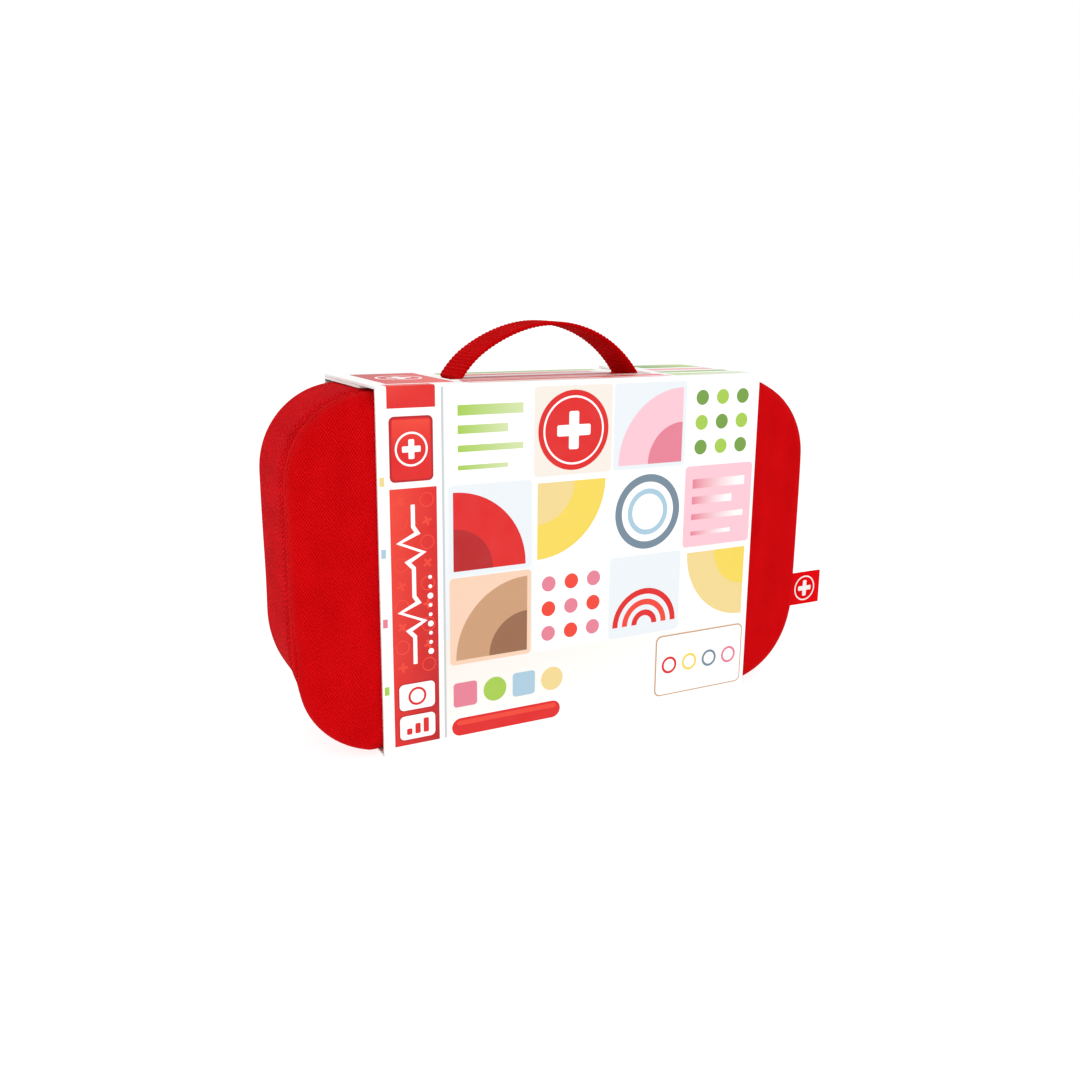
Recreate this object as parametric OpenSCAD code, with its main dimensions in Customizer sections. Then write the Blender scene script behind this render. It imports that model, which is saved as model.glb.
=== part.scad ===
// Toy doctor case: a padded textile case with a zip round its lid, a webbing handle and a
// printed card sleeve round its middle.
// The origin is the centre of the sleeve's bottom face. X runs to the right, Y to the back, Z up.

/* [Case] */
// Width of the case
case_w = 279.2; // [250:0.1:310]
// Height of the case
case_h = 164.7; // [145:0.1:185]
// Depth of the case, lid and tray together
case_d = 71; // [62:0.5:85]
// Radius of the two upper corners, seen from the front
corner_r = 40; // [32:0.5:50]
// Radius of the two lower corners, seen from the front
foot_r = 50; // [40:0.5:60]
// Thickness of the padded textile round the sides
wall_t = 3.2; // [2.6:0.1:3.8]
// Thickness of the padded textile on the front and the back
face_t = 2.6; // [2:0.1:3.2]
// Radius of the case's back edge
back_edge_r = 12; // [8:0.5:16]

/* [Lid] */
// Depth of the lid, from its front face to its rim
lid_d = 12.5; // [11:0.5:16]
// Radius of the lid's front edge
lid_edge_r = 8.5; // [6:0.5:9.5]
// Height of the strip that stays below the lid's fold
sill_h = 10.5; // [9:0.5:16]

/* [Zip] */
// Width of the groove between the lid's rim and the tray's rim
zip_gap = 7; // [6:0.5:9]
// Thickness of the zip tape
tape_t = 0.6; // [0.4:0.1:0.9]
// Width of the zip tape that is sewn under the textile
tape_hem = 4.4; // [3:0.2:5]
// Radius of the closed zip coil
coil_r = 1.2; // [0.9:0.1:1.5]
// Length of the slider
slider_l = 11; // [9:0.5:14]
// Thickness of the slider's plate and of its side wall
slider_t = 1; // [0.8:0.1:1.2]
// Length of the pull, from its pin to its end
pull_l = 22; // [16:0.5:28]
// Width of the pull
pull_w = 6; // [5:0.5:8]
// Thickness of the pull
pull_t = 1; // [0.8:0.1:1.2]
// Distance between the parked slider and the lower corner's curve
slider_park = 4; // [2:0.5:10]

/* [Inside] */
// Thickness of the lining
lining_t = 0.8; // [0.6:0.1:1.2]
// Thickness of the stiffening boards
board_t = 1.6; // [1:0.1:2]
// Margin between a stiffening board and the outline of the case
board_margin = 14; // [13:0.5:24]
// Thickness of the elastic band and the lid's pocket
elastic_t = 0.8; // [0.6:0.1:1.2]
// Height of the elastic band
band_h = 20; // [14:1:28]
// Height of the band's lower edge above the case's bottom
band_z = 58; // [45:1:75]
// Width of the lid's pocket
pocket_w = 180; // [120:1:190]
// Height of the lid's pocket
pocket_h = 78; // [50:1:90]
// Height of the pocket's hem
hem_h = 9; // [6:0.5:14]

/* [Handle] */
// Width of the webbing
webbing_w = 25; // [20:0.5:28]
// Thickness of the webbing
webbing_t = 2; // [1.4:0.1:2.2]
// Distance between the outer faces of the handle's feet at the sleeve's top
handle_span = 96; // [80:1:104]
// Height of the handle above the sleeve
handle_rise = 25.7; // [20:0.1:34]
// Sideways place of the handle's middle
handle_x = -4; // [-8:0.5:8]
// Length of the sewn ends
handle_end_l = 34; // [24:1:36]
// Distance between the tray's rim and the handle's front edge
handle_margin = 1.5; // [1.5:0.5:6]

/* [Label] */
// Length of the label outside the seam
tab_l = 22; // [14:0.5:28]
// Height of the label
tab_h = 18.5; // [12:0.5:24]
// Thickness of the folded label
tab_t = 1; // [0.6:0.1:1.6]
// Height of the label's middle above the case's bottom
tab_z = 45.5; // [42:0.5:70]
// Distance between the case's front face and the label
tab_set_back = 7.5; // [6:0.5:10]

/* [Sleeve] */
// Width of the card sleeve
sleeve_w = 205; // [185:1:230]
// Thickness of the card
card_t = 1.2; // [0.8:0.1:1.6]
// Clearance between the sleeve and the case
sleeve_gap = 0.3; // [0.3:0.1:1]
// Width of the upper flap's notch round the handle
notch_w = 110; // [108:1:120]

/* [Hidden] */
$fn = 96;

// Colours
textile_red = [0.80, 0.03, 0.06];
label_red = [0.88, 0.06, 0.10];
lining_red = [0.62, 0.05, 0.08];
card_white = [0.96, 0.96, 0.95];
elastic_black = [0.08, 0.08, 0.09];
metal_grey = [0.75, 0.75, 0.78];
board_grey = [0.45, 0.44, 0.42];

// Clearances
layer_gap = 0.1;
soft_gap = 0.3;
slot_gap = 1.5;
zip_play = 0.15;
// Overshoot of a cut past the face that it opens
past = 1;

// Depth stations, measured from the middle of the case, positive to the front
front_d = case_d / 2;
lid_rim_d = front_d - lid_d;
tray_rim_d = lid_rim_d - zip_gap;
zip_d = (lid_rim_d + tray_rim_d) / 2;

// Heights
case_bottom = card_t + sleeve_gap;
case_top = case_bottom + case_h;
case_mid = case_bottom + case_h / 2;
fold_z = case_bottom + sill_h;
lower_flap_z = case_top + sleeve_gap;
upper_flap_z = lower_flap_z + card_t + layer_gap;
sleeve_top = upper_flap_z + card_t;
sleeve_front_y = -(front_d + sleeve_gap + card_t);

// Layers inside the textile, as distances from the case's outer surface
tape_inset = wall_t + layer_gap / 2;
lining_inset = tape_inset + tape_t + layer_gap;
lining_face_inset = face_t + board_t + 2 * layer_gap;
tape_x = corner_r - tape_inset;
// How far the label reaches into the lid's seam
tab_root = wall_t - layer_gap;

// Handle
handle_front_y = -tray_rim_d + handle_margin;
handle_rear_y = handle_front_y + webbing_w;
arch_r = (pow(handle_span / 2, 2) + pow(handle_rise, 2)) / (2 * handle_rise);
arch_z = sleeve_top + handle_rise - arch_r;
arch_foot_z = case_top + soft_gap - layer_gap;
// Angle that the arch is swept past its feet before they are cut level
sweep_spare = 5;
foot_in = handle_span / 2 - webbing_t - slot_gap - card_t;
foot_out = handle_span / 2 + slot_gap + card_t;

// Flat length of the band past its outer loops
band_end = 16;
// Loops of the elastic band, as [place along the band, radius inside]
LOOPS = [[-92, 7.3], [-54, 10.3], [-12, 7.3], [32, 10.3], [78, 14.3]];

// Lays the outline's plane upright: local z becomes the depth towards the front.
module upright() {
    rotate([90, 0, 0])
        translate([0, case_mid, 0])
            children();
}

// Sweeps a profile round the case's outline. The profile's x runs outward from the centres of the
// upper corners, and its y towards the front.
module around_outline() {
    upper_x = case_w / 2 - corner_r;
    upper_y = case_h / 2 - corner_r;
    lower_x = case_w / 2 - foot_r;
    lower_y = case_h / 2 - foot_r;
    for (side = [0, 1])
        mirror([side, 0, 0]) {
            translate([upper_x, upper_y, 0])
                rotate_extrude(angle = 90)
                    children();
            translate([upper_x, upper_y, 0])
                rotate([90, 0, 0])
                    linear_extrude(upper_y + lower_y)
                        children();
            translate([lower_x, -lower_y, 0])
                rotate([0, 0, -90])
                    rotate_extrude(angle = 90)
                        translate([foot_r - corner_r, 0])
                            children();
        }
    translate([-upper_x, upper_y, 0])
        rotate([90, 0, 90])
            linear_extrude(2 * upper_x)
                children();
    translate([lower_x, -upper_y, 0])
        rotate([90, 0, -90])
            linear_extrude(2 * lower_x)
                children();
}

// The flat middle inside the swept profile
module middle_plate(d, t) {
    upper_x = case_w / 2 - corner_r;
    upper_y = case_h / 2 - corner_r;
    lower_x = case_w / 2 - foot_r;
    lower_y = case_h / 2 - foot_r;
    translate([-upper_x, -lower_y, d])
        cube([2 * upper_x, upper_y + lower_y, t]);
    translate([-lower_x, -upper_y, d])
        cube([2 * lower_x, upper_y - lower_y, t]);
    for (side = [0, 1])
        mirror([side, 0, 0])
            translate([lower_x, -lower_y, d])
                rotate([0, 0, -90])
                    rotate_extrude(angle = 90)
                        square([foot_r - corner_r, t]);
}

// Solid edge profile from the corner centre out to x, from rim to face, with its edge rounded
module edge_profile(x, rim, face, edge_r) {
    translate([0, rim])
        square([x - edge_r, face - rim]);
    translate([x - edge_r, rim])
        square([edge_r, face - rim - edge_r]);
    translate([x - edge_r, face - edge_r])
        intersection() {
            circle(edge_r);
            square(edge_r);
        }
}

// Wall profile of a tray
module wall_profile(x, rim, face, edge_r, side_t, plate_t) {
    difference() {
        edge_profile(x, rim, face, edge_r);
        edge_profile(x - side_t, rim - past, face - plate_t, max(edge_r - side_t, past));
    }
}

// A tray whose rim looks away from its face
module tray(inset, rim, face, edge_r, side_t, plate_t) {
    around_outline()
        wall_profile(corner_r - inset, rim, face, edge_r, side_t, plate_t);
    middle_plate(face - plate_t, plate_t);
}

// A flat plate with the outline of the case, drawn in by a margin
module outline_plate(margin, d, t) {
    around_outline()
        translate([0, d])
            square([corner_r - margin, t]);
    middle_plate(d, t);
}

// Keeps what is above a height
module keep_above(z) {
    difference() {
        children();
        translate([-case_w, z - case_mid - case_h, -case_d])
            cube([2 * case_w, case_h, 2 * case_d]);
    }
}

// Keeps what is below a height
module keep_below(z) {
    difference() {
        children();
        translate([-case_w, z - case_mid, -case_d])
            cube([2 * case_w, case_h, 2 * case_d]);
    }
}

module handle_end_shape(gap) {
    translate([foot_in - gap, handle_front_y - gap, case_top - layer_gap - webbing_t - gap])
        cube([handle_end_l + 2 * gap, webbing_w + 2 * gap, webbing_t + 2 * gap + layer_gap]);
}

module rear_shell() {
    color(textile_red)
        difference() {
            upright()
                mirror([0, 0, 1])
                    tray(0, -tray_rim_d, front_d, back_edge_r, wall_t, face_t);
            // The textile is pressed down under the handle's sewn ends
            for (side = [0, 1])
                translate([handle_x, 0, 0])
                    mirror([side, 0, 0])
                        handle_end_shape(layer_gap);
        }
}

module front_sill() {
    color(textile_red)
        upright()
            keep_below(fold_z - layer_gap)
                tray(0, tray_rim_d, front_d, lid_edge_r, wall_t, face_t);
}

module rear_lining() {
    color(lining_red)
        upright()
            mirror([0, 0, 1])
                tray(lining_inset, -tray_rim_d, front_d - lining_face_inset,
                     back_edge_r - lining_inset, lining_t, lining_t);
}

module sill_lining() {
    color(lining_red)
        upright()
            keep_below(fold_z - layer_gap)
                tray(tape_inset, tray_rim_d + layer_gap, front_d - face_t - layer_gap,
                     lid_edge_r - tape_inset, lining_t, lining_t);
}

module back_board() {
    color(board_grey)
        upright()
            outline_plate(board_margin, -front_d + face_t + layer_gap, board_t);
}

module lid_shell() {
    color(textile_red)
        difference() {
            upright()
                keep_above(fold_z)
                    tray(0, lid_rim_d, front_d, lid_edge_r, wall_t, face_t);
            // The slit in the seam that holds the label
            label_shape(layer_gap / 2);
        }
}

module label_shape(gap) {
    translate([case_w / 2 - tab_root - gap, -front_d + tab_set_back - gap,
               case_bottom + tab_z - tab_h / 2 - gap])
        cube([tab_root + tab_l + 2 * gap, tab_t + 2 * gap, tab_h + 2 * gap]);
}

module lid_lining() {
    color(lining_red)
        upright()
            keep_above(fold_z)
                tray(lining_inset, lid_rim_d, front_d - lining_face_inset,
                     lid_edge_r - lining_inset, lining_t, lining_t);
}

module lid_board() {
    color(board_grey)
        upright()
            keep_above(fold_z + board_margin)
                outline_plate(board_margin, front_d - face_t - layer_gap - board_t, board_t);
}

module hinge_tape() {
    tape_w = case_w - 2 * foot_r;
    color(lining_red)
        translate([-tape_w / 2, -(front_d - face_t - layer_gap), fold_z])
            cube([tape_w, lining_t, board_margin - layer_gap]);
}

module lid_pocket() {
    y = -(front_d - lining_face_inset - lining_t - layer_gap);
    z = fold_z + board_margin;
    color(elastic_black) {
        translate([-pocket_w / 2, y, z])
            cube([pocket_w, elastic_t, pocket_h - hem_h]);
        translate([-pocket_w / 2, y, z + pocket_h - hem_h])
            cube([pocket_w, 2 * elastic_t, hem_h]);
    }
}

module zip_tape(from, to) {
    around_outline()
        translate([tape_x - tape_t, from])
            square([tape_t, to - from]);
}

module zip_tape_rear() {
    color(textile_red)
        upright()
            keep_above(fold_z)
                zip_tape(tray_rim_d - tape_hem, zip_d - layer_gap);
}

module zip_tape_lid() {
    color(textile_red)
        upright()
            keep_above(fold_z)
                zip_tape(zip_d + layer_gap, lid_rim_d + tape_hem);
}

// One half of the closed coil: side is -1 at the tray and 1 at the lid
module zip_coil(side) {
    around_outline()
        translate([tape_x, zip_d])
            intersection() {
                circle(coil_r);
                translate([0, side > 0 ? layer_gap / 2 : -coil_r])
                    square([coil_r, coil_r - layer_gap / 2]);
            }
}

module zip_coil_rear() {
    color(textile_red)
        upright()
            keep_above(fold_z)
                zip_coil(-1);
}

module zip_coil_lid() {
    color(textile_red)
        upright()
            keep_above(fold_z)
                zip_coil(1);
}

// Size of a zip stop, and how far above the fold it sits, as an angle on the lower corner
stop_l = 2.4;
stop_h = 0.6;
stop_rise = 3;

module zip_stops() {
    stop_angle = asin((foot_r - sill_h) / foot_r) - stop_rise;
    stop_low = tray_rim_d + layer_gap;
    color(metal_grey)
        upright()
            for (side = [0, 1])
                mirror([side, 0, 0])
                    translate([case_w / 2 - foot_r, foot_r - case_h / 2, 0])
                        rotate([0, 0, -stop_angle])
                            translate([foot_r - tape_inset + coil_r + zip_play, -stop_l / 2, stop_low])
                                cube([stop_h, stop_l, zip_d - stop_low]);
}

module tool_band() {
    back_y = front_d - lining_face_inset - lining_t - layer_gap;
    z = case_bottom + band_z;
    wide = [for (loop = LOOPS) loop[1] + elastic_t];
    last = len(LOOPS) - 1;
    color(elastic_black)
        translate([0, back_y, z]) {
            for (k = [0:last])
                translate([LOOPS[k][0], -LOOPS[k][1], 0]) {
                    mirror([0, 1, 0])
                        rotate_extrude(angle = 180)
                            translate([LOOPS[k][1], 0])
                                square([elastic_t, band_h]);
                    for (side = [-1, 1])
                        translate([side * (LOOPS[k][1] + elastic_t / 2) - elastic_t / 2, 0, 0])
                            cube([elastic_t, LOOPS[k][1], band_h]);
                }
            for (k = [0:last + 1]) {
                from = k == 0 ? LOOPS[0][0] - wide[0] - band_end : LOOPS[k - 1][0] + wide[k - 1];
                to = k == last + 1 ? LOOPS[last][0] + wide[last] + band_end : LOOPS[k][0] - wide[k];
                translate([from, -elastic_t, 0])
                    cube([to - from, elastic_t, band_h]);
            }
        }
}

module handle_end_left() {
    color(textile_red)
        translate([handle_x, 0, 0])
            mirror([1, 0, 0])
                handle_end();
}

module handle_end_right() {
    color(textile_red)
        translate([handle_x, 0, 0])
            handle_end();
}

module handle_end() {
    translate([foot_in, handle_front_y, case_top - layer_gap - webbing_t])
        cube([handle_end_l, webbing_w, webbing_t]);
}

module handle_strap() {
    foot_angle = asin((arch_foot_z - arch_z) / arch_r);
    sweep_from = foot_angle - sweep_spare;
    color(textile_red)
        difference() {
            translate([handle_x, handle_rear_y, arch_z])
                rotate([90, 0, 0])
                    rotate([0, 0, sweep_from])
                        rotate_extrude(angle = 180 - 2 * sweep_from)
                            translate([arch_r - webbing_t, 0])
                                square([webbing_t, webbing_w]);
            translate([handle_x - handle_span, handle_front_y - past, 0])
                cube([2 * handle_span, webbing_w + 2 * past, arch_foot_z]);
        }
}

module side_tab() {
    color(label_red)
        label_shape(0);
}

// The card's bottom and back, and the lower top flap with its two slots for the handle
module sleeve_wrap() {
    inner_y = sleeve_front_y + card_t + layer_gap;
    flap_y = handle_front_y - past;
    color(card_white)
        difference() {
            union() {
                translate([-sleeve_w / 2, inner_y, 0])
                    cube([sleeve_w, -sleeve_front_y - inner_y, card_t]);
                translate([-sleeve_w / 2, -sleeve_front_y - card_t, 0])
                    cube([sleeve_w, card_t, lower_flap_z + card_t]);
                translate([-sleeve_w / 2, flap_y, lower_flap_z])
                    cube([sleeve_w, -sleeve_front_y - flap_y, card_t]);
            }
            for (side = [0, 1])
                translate([handle_x, 0, 0])
                    mirror([side, 0, 0])
                        translate([foot_in, flap_y - past, lower_flap_z - past])
                            cube([foot_out - foot_in, webbing_w + 2 * past + slot_gap, card_t + 2 * past]);
        }
}

module sleeve_front() {
    color(card_white)
        translate([-sleeve_w / 2, sleeve_front_y, 0])
            cube([sleeve_w, card_t, sleeve_top]);
}

// The upper top flap, with a notch that is open to the back, so that it lifts past the handle
module sleeve_flap() {
    inner_y = sleeve_front_y + card_t + layer_gap;
    notch_y = handle_front_y - past;
    color(card_white)
        difference() {
            translate([-sleeve_w / 2, inner_y, upper_flap_z])
                cube([sleeve_w, -sleeve_front_y - inner_y, card_t]);
            translate([handle_x - notch_w / 2, notch_y, upper_flap_z - past])
                cube([notch_w, case_d, card_t + 2 * past]);
        }
}

// Zip slider, parked at the lower end of the zip's straight side run
rim_play = 0.8;
slider_w = zip_gap - 2 * rim_play;
slider_low_z = case_bottom + foot_r + slider_park;
slider_mid_z = slider_low_z + slider_l / 2;
slider_x = case_w / 2 - tape_inset + coil_r + zip_play;
pin_r = 0.6;
pin_play = 0.25;
pin_x = slider_x + slider_t + pin_play + pin_r;
bridge_w = 2.4;
bridge_l = 7;
bridge_t = 0.8;
bridge_top = pin_x + pin_r + pin_play + bridge_t;
arm_w = 0.9;
arm_gap = 0.3;
arm_spare = 1.5;

module zip_slider() {
    wall_x = case_w / 2 - tape_inset + zip_play;
    color(metal_grey)
        translate([0, -zip_d, slider_mid_z]) {
            translate([slider_x, -slider_w / 2, -slider_l / 2])
                cube([slider_t, slider_w, slider_l]);
            translate([wall_x, slider_w / 2 - slider_t, -slider_l / 2])
                cube([slider_x - wall_x, slider_t, slider_l]);
            difference() {
                translate([slider_x + slider_t, -bridge_w / 2, -bridge_l / 2])
                    cube([bridge_top - slider_x - slider_t, bridge_w, bridge_l]);
                translate([slider_x + slider_t - past, -bridge_w, -bridge_l / 2 + slider_t])
                    cube([bridge_top - slider_x - slider_t - bridge_t + past, 2 * bridge_w,
                          bridge_l - 2 * slider_t]);
            }
        }
}

module zip_pull() {
    arm_y = bridge_w / 2 + arm_gap;
    arm_l = slider_l / 2 + arm_spare;
    plate_l = pull_l - arm_l;
    color(metal_grey)
        translate([pin_x, -zip_d, slider_mid_z]) {
            rotate([90, 0, 0])
                cylinder(r = pin_r, h = 2 * arm_y, center = true);
            for (side = [-1, 1])
                translate([-pull_t / 2, side * (arm_y + arm_w / 2) - arm_w / 2, -arm_l])
                    cube([pull_t, arm_w, arm_l + pin_r]);
            difference() {
                union() {
                    translate([-pull_t / 2, -pull_w / 2, -pull_l + pull_w / 2])
                        cube([pull_t, pull_w, plate_l - pull_w / 2]);
                    translate([0, 0, -pull_l + pull_w / 2])
                        rotate([0, 90, 0])
                            cylinder(d = pull_w, h = pull_t, center = true);
                }
                translate([0, 0, -pull_l + pull_w / 2])
                    rotate([0, 90, 0])
                        cylinder(d = pull_w / 2, h = 2 * pull_t, center = true);
            }
        }
}

rear_shell();
front_sill();
rear_lining();
sill_lining();
back_board();
tool_band();
zip_tape_rear();
zip_coil_rear();
zip_stops();
handle_end_left();
handle_end_right();
sleeve_wrap();
lid_shell();
lid_lining();
lid_board();
lid_pocket();
hinge_tape();
zip_tape_lid();
zip_coil_lid();
side_tab();
sleeve_front();
sleeve_flap();
handle_strap();
zip_slider();
zip_pull();
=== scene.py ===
"""Looks of the toy doctor case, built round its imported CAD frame. Lengths are in millimetres
until mesh() scales them. X runs to the right, Y to the back, Z up."""
import math

import bmesh
import bpy
import numpy as np
from mathutils import Matrix, Vector


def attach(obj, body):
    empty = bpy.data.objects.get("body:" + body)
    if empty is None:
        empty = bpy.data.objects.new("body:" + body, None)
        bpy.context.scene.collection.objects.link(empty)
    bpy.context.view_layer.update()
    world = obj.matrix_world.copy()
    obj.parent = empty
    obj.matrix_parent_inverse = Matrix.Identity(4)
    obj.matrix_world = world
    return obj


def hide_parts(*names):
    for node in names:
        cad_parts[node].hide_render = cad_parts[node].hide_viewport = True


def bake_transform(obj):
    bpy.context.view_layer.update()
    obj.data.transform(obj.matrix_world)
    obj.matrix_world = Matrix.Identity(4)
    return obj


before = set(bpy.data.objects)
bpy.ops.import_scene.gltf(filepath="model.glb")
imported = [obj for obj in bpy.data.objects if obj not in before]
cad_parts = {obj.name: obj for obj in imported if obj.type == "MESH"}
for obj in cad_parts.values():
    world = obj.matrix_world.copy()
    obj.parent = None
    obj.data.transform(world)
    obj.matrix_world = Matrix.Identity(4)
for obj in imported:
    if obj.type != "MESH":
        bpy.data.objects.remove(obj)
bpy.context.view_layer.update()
MM = 0.001

# The case's outline and depth stations, as in the CAD source
HALF_W, HALF_H, MID_Z, CORNER, FOOT_R = 139.6, 82.35, 83.85, 40.0, 50.0
FACE_D, LID_RIM_D, TRAY_RIM_D, ZIP_D = 35.5, 23.0, 16.0, 19.5
WALL, FACE_T, LID_EDGE_R, BACK_EDGE_R = 3.2, 2.6, 8.5, 12.0
FOLD_Z = 12.0
SLEEVE_W, SLEEVE_TOP, SLEEVE_Y = 205.0, 169.0, 37.0
# The sleeve's bends, its lower flap's height, the near edge of its notch and the end of its slots
BEND_R, UNDER_Z, NOTCH_Y, SLOT_Y = 1.0, 167.7, -15.5, 11.2
HANDLE_X, HANDLE_Y0, HANDLE_Y1 = -4.0, -14.5, 10.5
# Place and radius of each loop for a tool
LOOPS = [(-92, 7.3), (-54, 10.3), (-12, 7.3), (32, 10.3), (78, 14.3)]


def linear(r, g, b):
    """An sRGB colour of 0 to 255 as a linear RGBA tuple."""
    out = []
    for c in (r, g, b):
        c /= 255.0
        out.append(c / 12.92 if c <= 0.04045 else ((c + 0.055) / 1.055) ** 2.4)
    return (*out, 1.0)


# ---------------------------------------------------------------- materials
class Shader:
    """A Principled material whose nodes are added one by one."""

    def __init__(self, name, **sockets):
        self.mat = bpy.data.materials.new(name)
        self.mat.use_nodes = True
        self.tree = self.mat.node_tree
        self.bsdf = self.tree.nodes["Principled BSDF"]
        for key, value in sockets.items():
            self.bsdf.inputs[key.replace("_", " ")].default_value = value

    def node(self, kind, inputs=None, **props):
        made = self.tree.nodes.new(kind)
        for key, value in props.items():
            setattr(made, key, value)
        for key, value in (inputs or {}).items():
            if isinstance(value, bpy.types.NodeSocket):
                self.tree.links.new(value, made.inputs[key])
            else:
                made.inputs[key].default_value = value
        return made

    def calc(self, op, a, b=0.0, c=0.0):
        return self.node("ShaderNodeMath", {0: a, 1: b, 2: c}, operation=op).outputs[0]

    def mix(self, share, a, b):
        return self.node("ShaderNodeMix", {0: share, 6: a, 7: b}, data_type="RGBA").outputs[2]

    def blend_values(self, share, a, b):
        return self.node("ShaderNodeMix", {0: share, 2: a, 3: b}).outputs[0]

    def attribute(self, name):
        return self.node("ShaderNodeAttribute", attribute_name=name)

    def weave(self):
        return self.attribute("weave").outputs["Vector"]

    def place(self):
        return self.node("ShaderNodeTexCoord").outputs["Object"]

    def stretch(self, vector, scale):
        return self.node("ShaderNodeMapping", {"Vector": vector, "Scale": scale}).outputs[0]

    def clamp(self, value):
        return self.node("ShaderNodeClamp", {0: value}).outputs[0]

    def about(self, value, size):
        """A value between 0 and 1 moved to lie about 0, size across."""
        return self.calc("MULTIPLY", self.calc("SUBTRACT", value, 0.5), size)

    def noise(self, vector, scale, detail=3.0):
        return self.node("ShaderNodeTexNoise", {"Vector": vector, "Scale": scale, "Detail": detail,
                                                "Roughness": 0.55}).outputs["Fac"]

    def spread(self, value, low, high):
        """Stretches the middle of a 0 to 1 value to the whole range."""
        limits = {0: value, 1: low, 2: high, 3: 0.0, 4: 1.0}
        return self.node("ShaderNodeMapRange", limits).outputs[0]

    def colour(self, socket):
        self.tree.links.new(socket, self.bsdf.inputs["Base Color"])

    def roughness(self, socket):
        self.tree.links.new(socket, self.bsdf.inputs["Roughness"])

    def bump(self, height, distance, strength=1.0):
        made = self.node("ShaderNodeBump", {"Height": height, "Distance": distance * MM,
                                            "Strength": strength})
        self.tree.links.new(made.outputs[0], self.bsdf.inputs["Normal"])


def fabric(name, dark, light, thread=0.6, kind="twill", relief=0.12, **sockets):
    """Woven cloth between two sRGB colours, on the mesh's weave attribute, which runs in
    millimetres along the threads. Its colour also holds painted light and shade of the weave's
    relief: thread crowns and floats on top lighter, the hollows between threads darker."""
    values = dict(Roughness=0.9, Specular_IOR_Level=0.02, Sheen_Weight=0.0, Sheen_Roughness=0.5)
    values.update(sockets)
    s = Shader(name, **values)
    weave, patch = s.weave(), 0.35
    split = s.node("ShaderNodeSeparateXYZ", {0: weave})
    # the threads wander a little
    wander = s.about(s.noise(weave, 0.35, 2.0), thread * 1.7)
    u, v = (s.calc("ADD", split.outputs[k], wander) for k in (0, 1))
    turn = math.pi / thread
    wave_u, wave_v = (s.calc("SINE", s.calc("MULTIPLY", x, turn)) for x in (u, v))
    warp, weft = s.calc("ABSOLUTE", wave_u), s.calc("ABSOLUTE", wave_v)
    if kind == "twill":
        # two crossing slants: the strong one makes the strokes, the weak one breaks them
        along, up = s.calc("MULTIPLY", u, turn * 0.95), s.calc("MULTIPLY", v, turn * 0.65)
        slant, breaks = (s.calc("SINE", s.calc(op, along, up)) for op in ("ADD", "SUBTRACT"))
        over = s.calc("MULTIPLY_ADD", slant, 0.75, s.calc("MULTIPLY_ADD", breaks, 0.7, 0.34))
    elif kind == "dots":
        over = s.calc("MULTIPLY_ADD", s.calc("MULTIPLY", wave_u, wave_v), 2.0, 0.5)
    else:
        over = s.calc("MULTIPLY_ADD", wave_v, 0.6, 0.5)
    over = s.clamp(over)
    height = s.blend_values(over, weft, warp)
    # painted light and shade of the weave: the thread crowns and the floats on top are made
    # lighter, the hollows between threads darker
    tone = s.calc("ADD", s.calc("MULTIPLY", height, 0.2), s.calc("MULTIPLY", over, 0.55))
    # cloudy patches, slubs, and faint darker and lighter zones along the warp
    for value, size in ((s.noise(weave, 0.06), patch), (s.noise(weave, 1.1, 2.0), 0.85),
                        (s.noise(s.stretch(weave, (0.1, 0.018, 1)), 1.0, 2.0), patch)):
        tone = s.calc("ADD", tone, s.about(value, size))
    s.colour(s.mix(s.clamp(tone), linear(*dark), linear(*light)))
    s.roughness(s.calc("MULTIPLY_ADD", over, -0.08, values["Roughness"]))
    s.bump(height, relief)
    return s.mat


def metal(name):
    s = Shader(name, Metallic=0.92, Base_Color=linear(196, 197, 200))
    brushed = s.noise(s.stretch(s.place(), (900, 900, 60)), 4.0)
    s.colour(s.mix(s.noise(s.place(), 260.0), linear(172, 173, 177), linear(212, 213, 216)))
    s.roughness(s.calc("MULTIPLY_ADD", brushed, 0.22, 0.2))
    s.bump(brushed, 0.02, 0.5)
    return s.mat


def board(name):
    s = Shader(name, Roughness=0.9, Specular_IOR_Level=0.2)
    fibre = s.noise(s.stretch(s.place(), (300, 300, 1400)), 1.0, 6.0)
    speck = s.spread(s.noise(s.place(), 900.0, 2.0), 0.62, 0.7)
    ground = s.mix(fibre, linear(150, 142, 130), linear(182, 175, 163))
    s.colour(s.mix(speck, ground, linear(96, 90, 82)))
    s.bump(fibre, 0.05)
    return s.mat


def card(name, base):
    """Coated white card: faint cloud, faint fibre relief."""
    s = Shader(name, Roughness=0.42, Specular_IOR_Level=0.35)
    fibre, cloud = s.noise(s.weave(), 1.6, 5.0), s.noise(s.weave(), 0.03)
    grey = tuple(c * 0.955 for c in base[:3]) + (1.0,)
    share = s.calc("MULTIPLY_ADD", fibre, 0.3, s.calc("MULTIPLY", cloud, 0.7))
    s.colour(s.mix(share, grey, base))
    s.roughness(s.calc("MULTIPLY_ADD", fibre, 0.12, 0.36))
    s.bump(fibre, 0.012)
    return s.mat


def ink(name):
    """Printed ink: the colour is the mesh's own, with a faint uneven lay and gloss."""
    s = Shader(name, Roughness=0.4, Specular_IOR_Level=0.06)
    grain, lay = s.noise(s.weave(), 2.4, 4.0), s.noise(s.weave(), 0.09, 2.0)
    uneven = s.calc("MULTIPLY_ADD", grain, 0.5, s.calc("MULTIPLY", lay, 0.5))
    s.colour(s.mix(s.calc("MULTIPLY", uneven, 0.05), s.attribute("ink").outputs["Color"],
                   (1.0, 1.0, 1.0, 1.0)))
    s.roughness(s.calc("MULTIPLY_ADD", grain, 0.14, 0.27))
    s.bump(grain, 0.01)
    return s.mat


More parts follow.
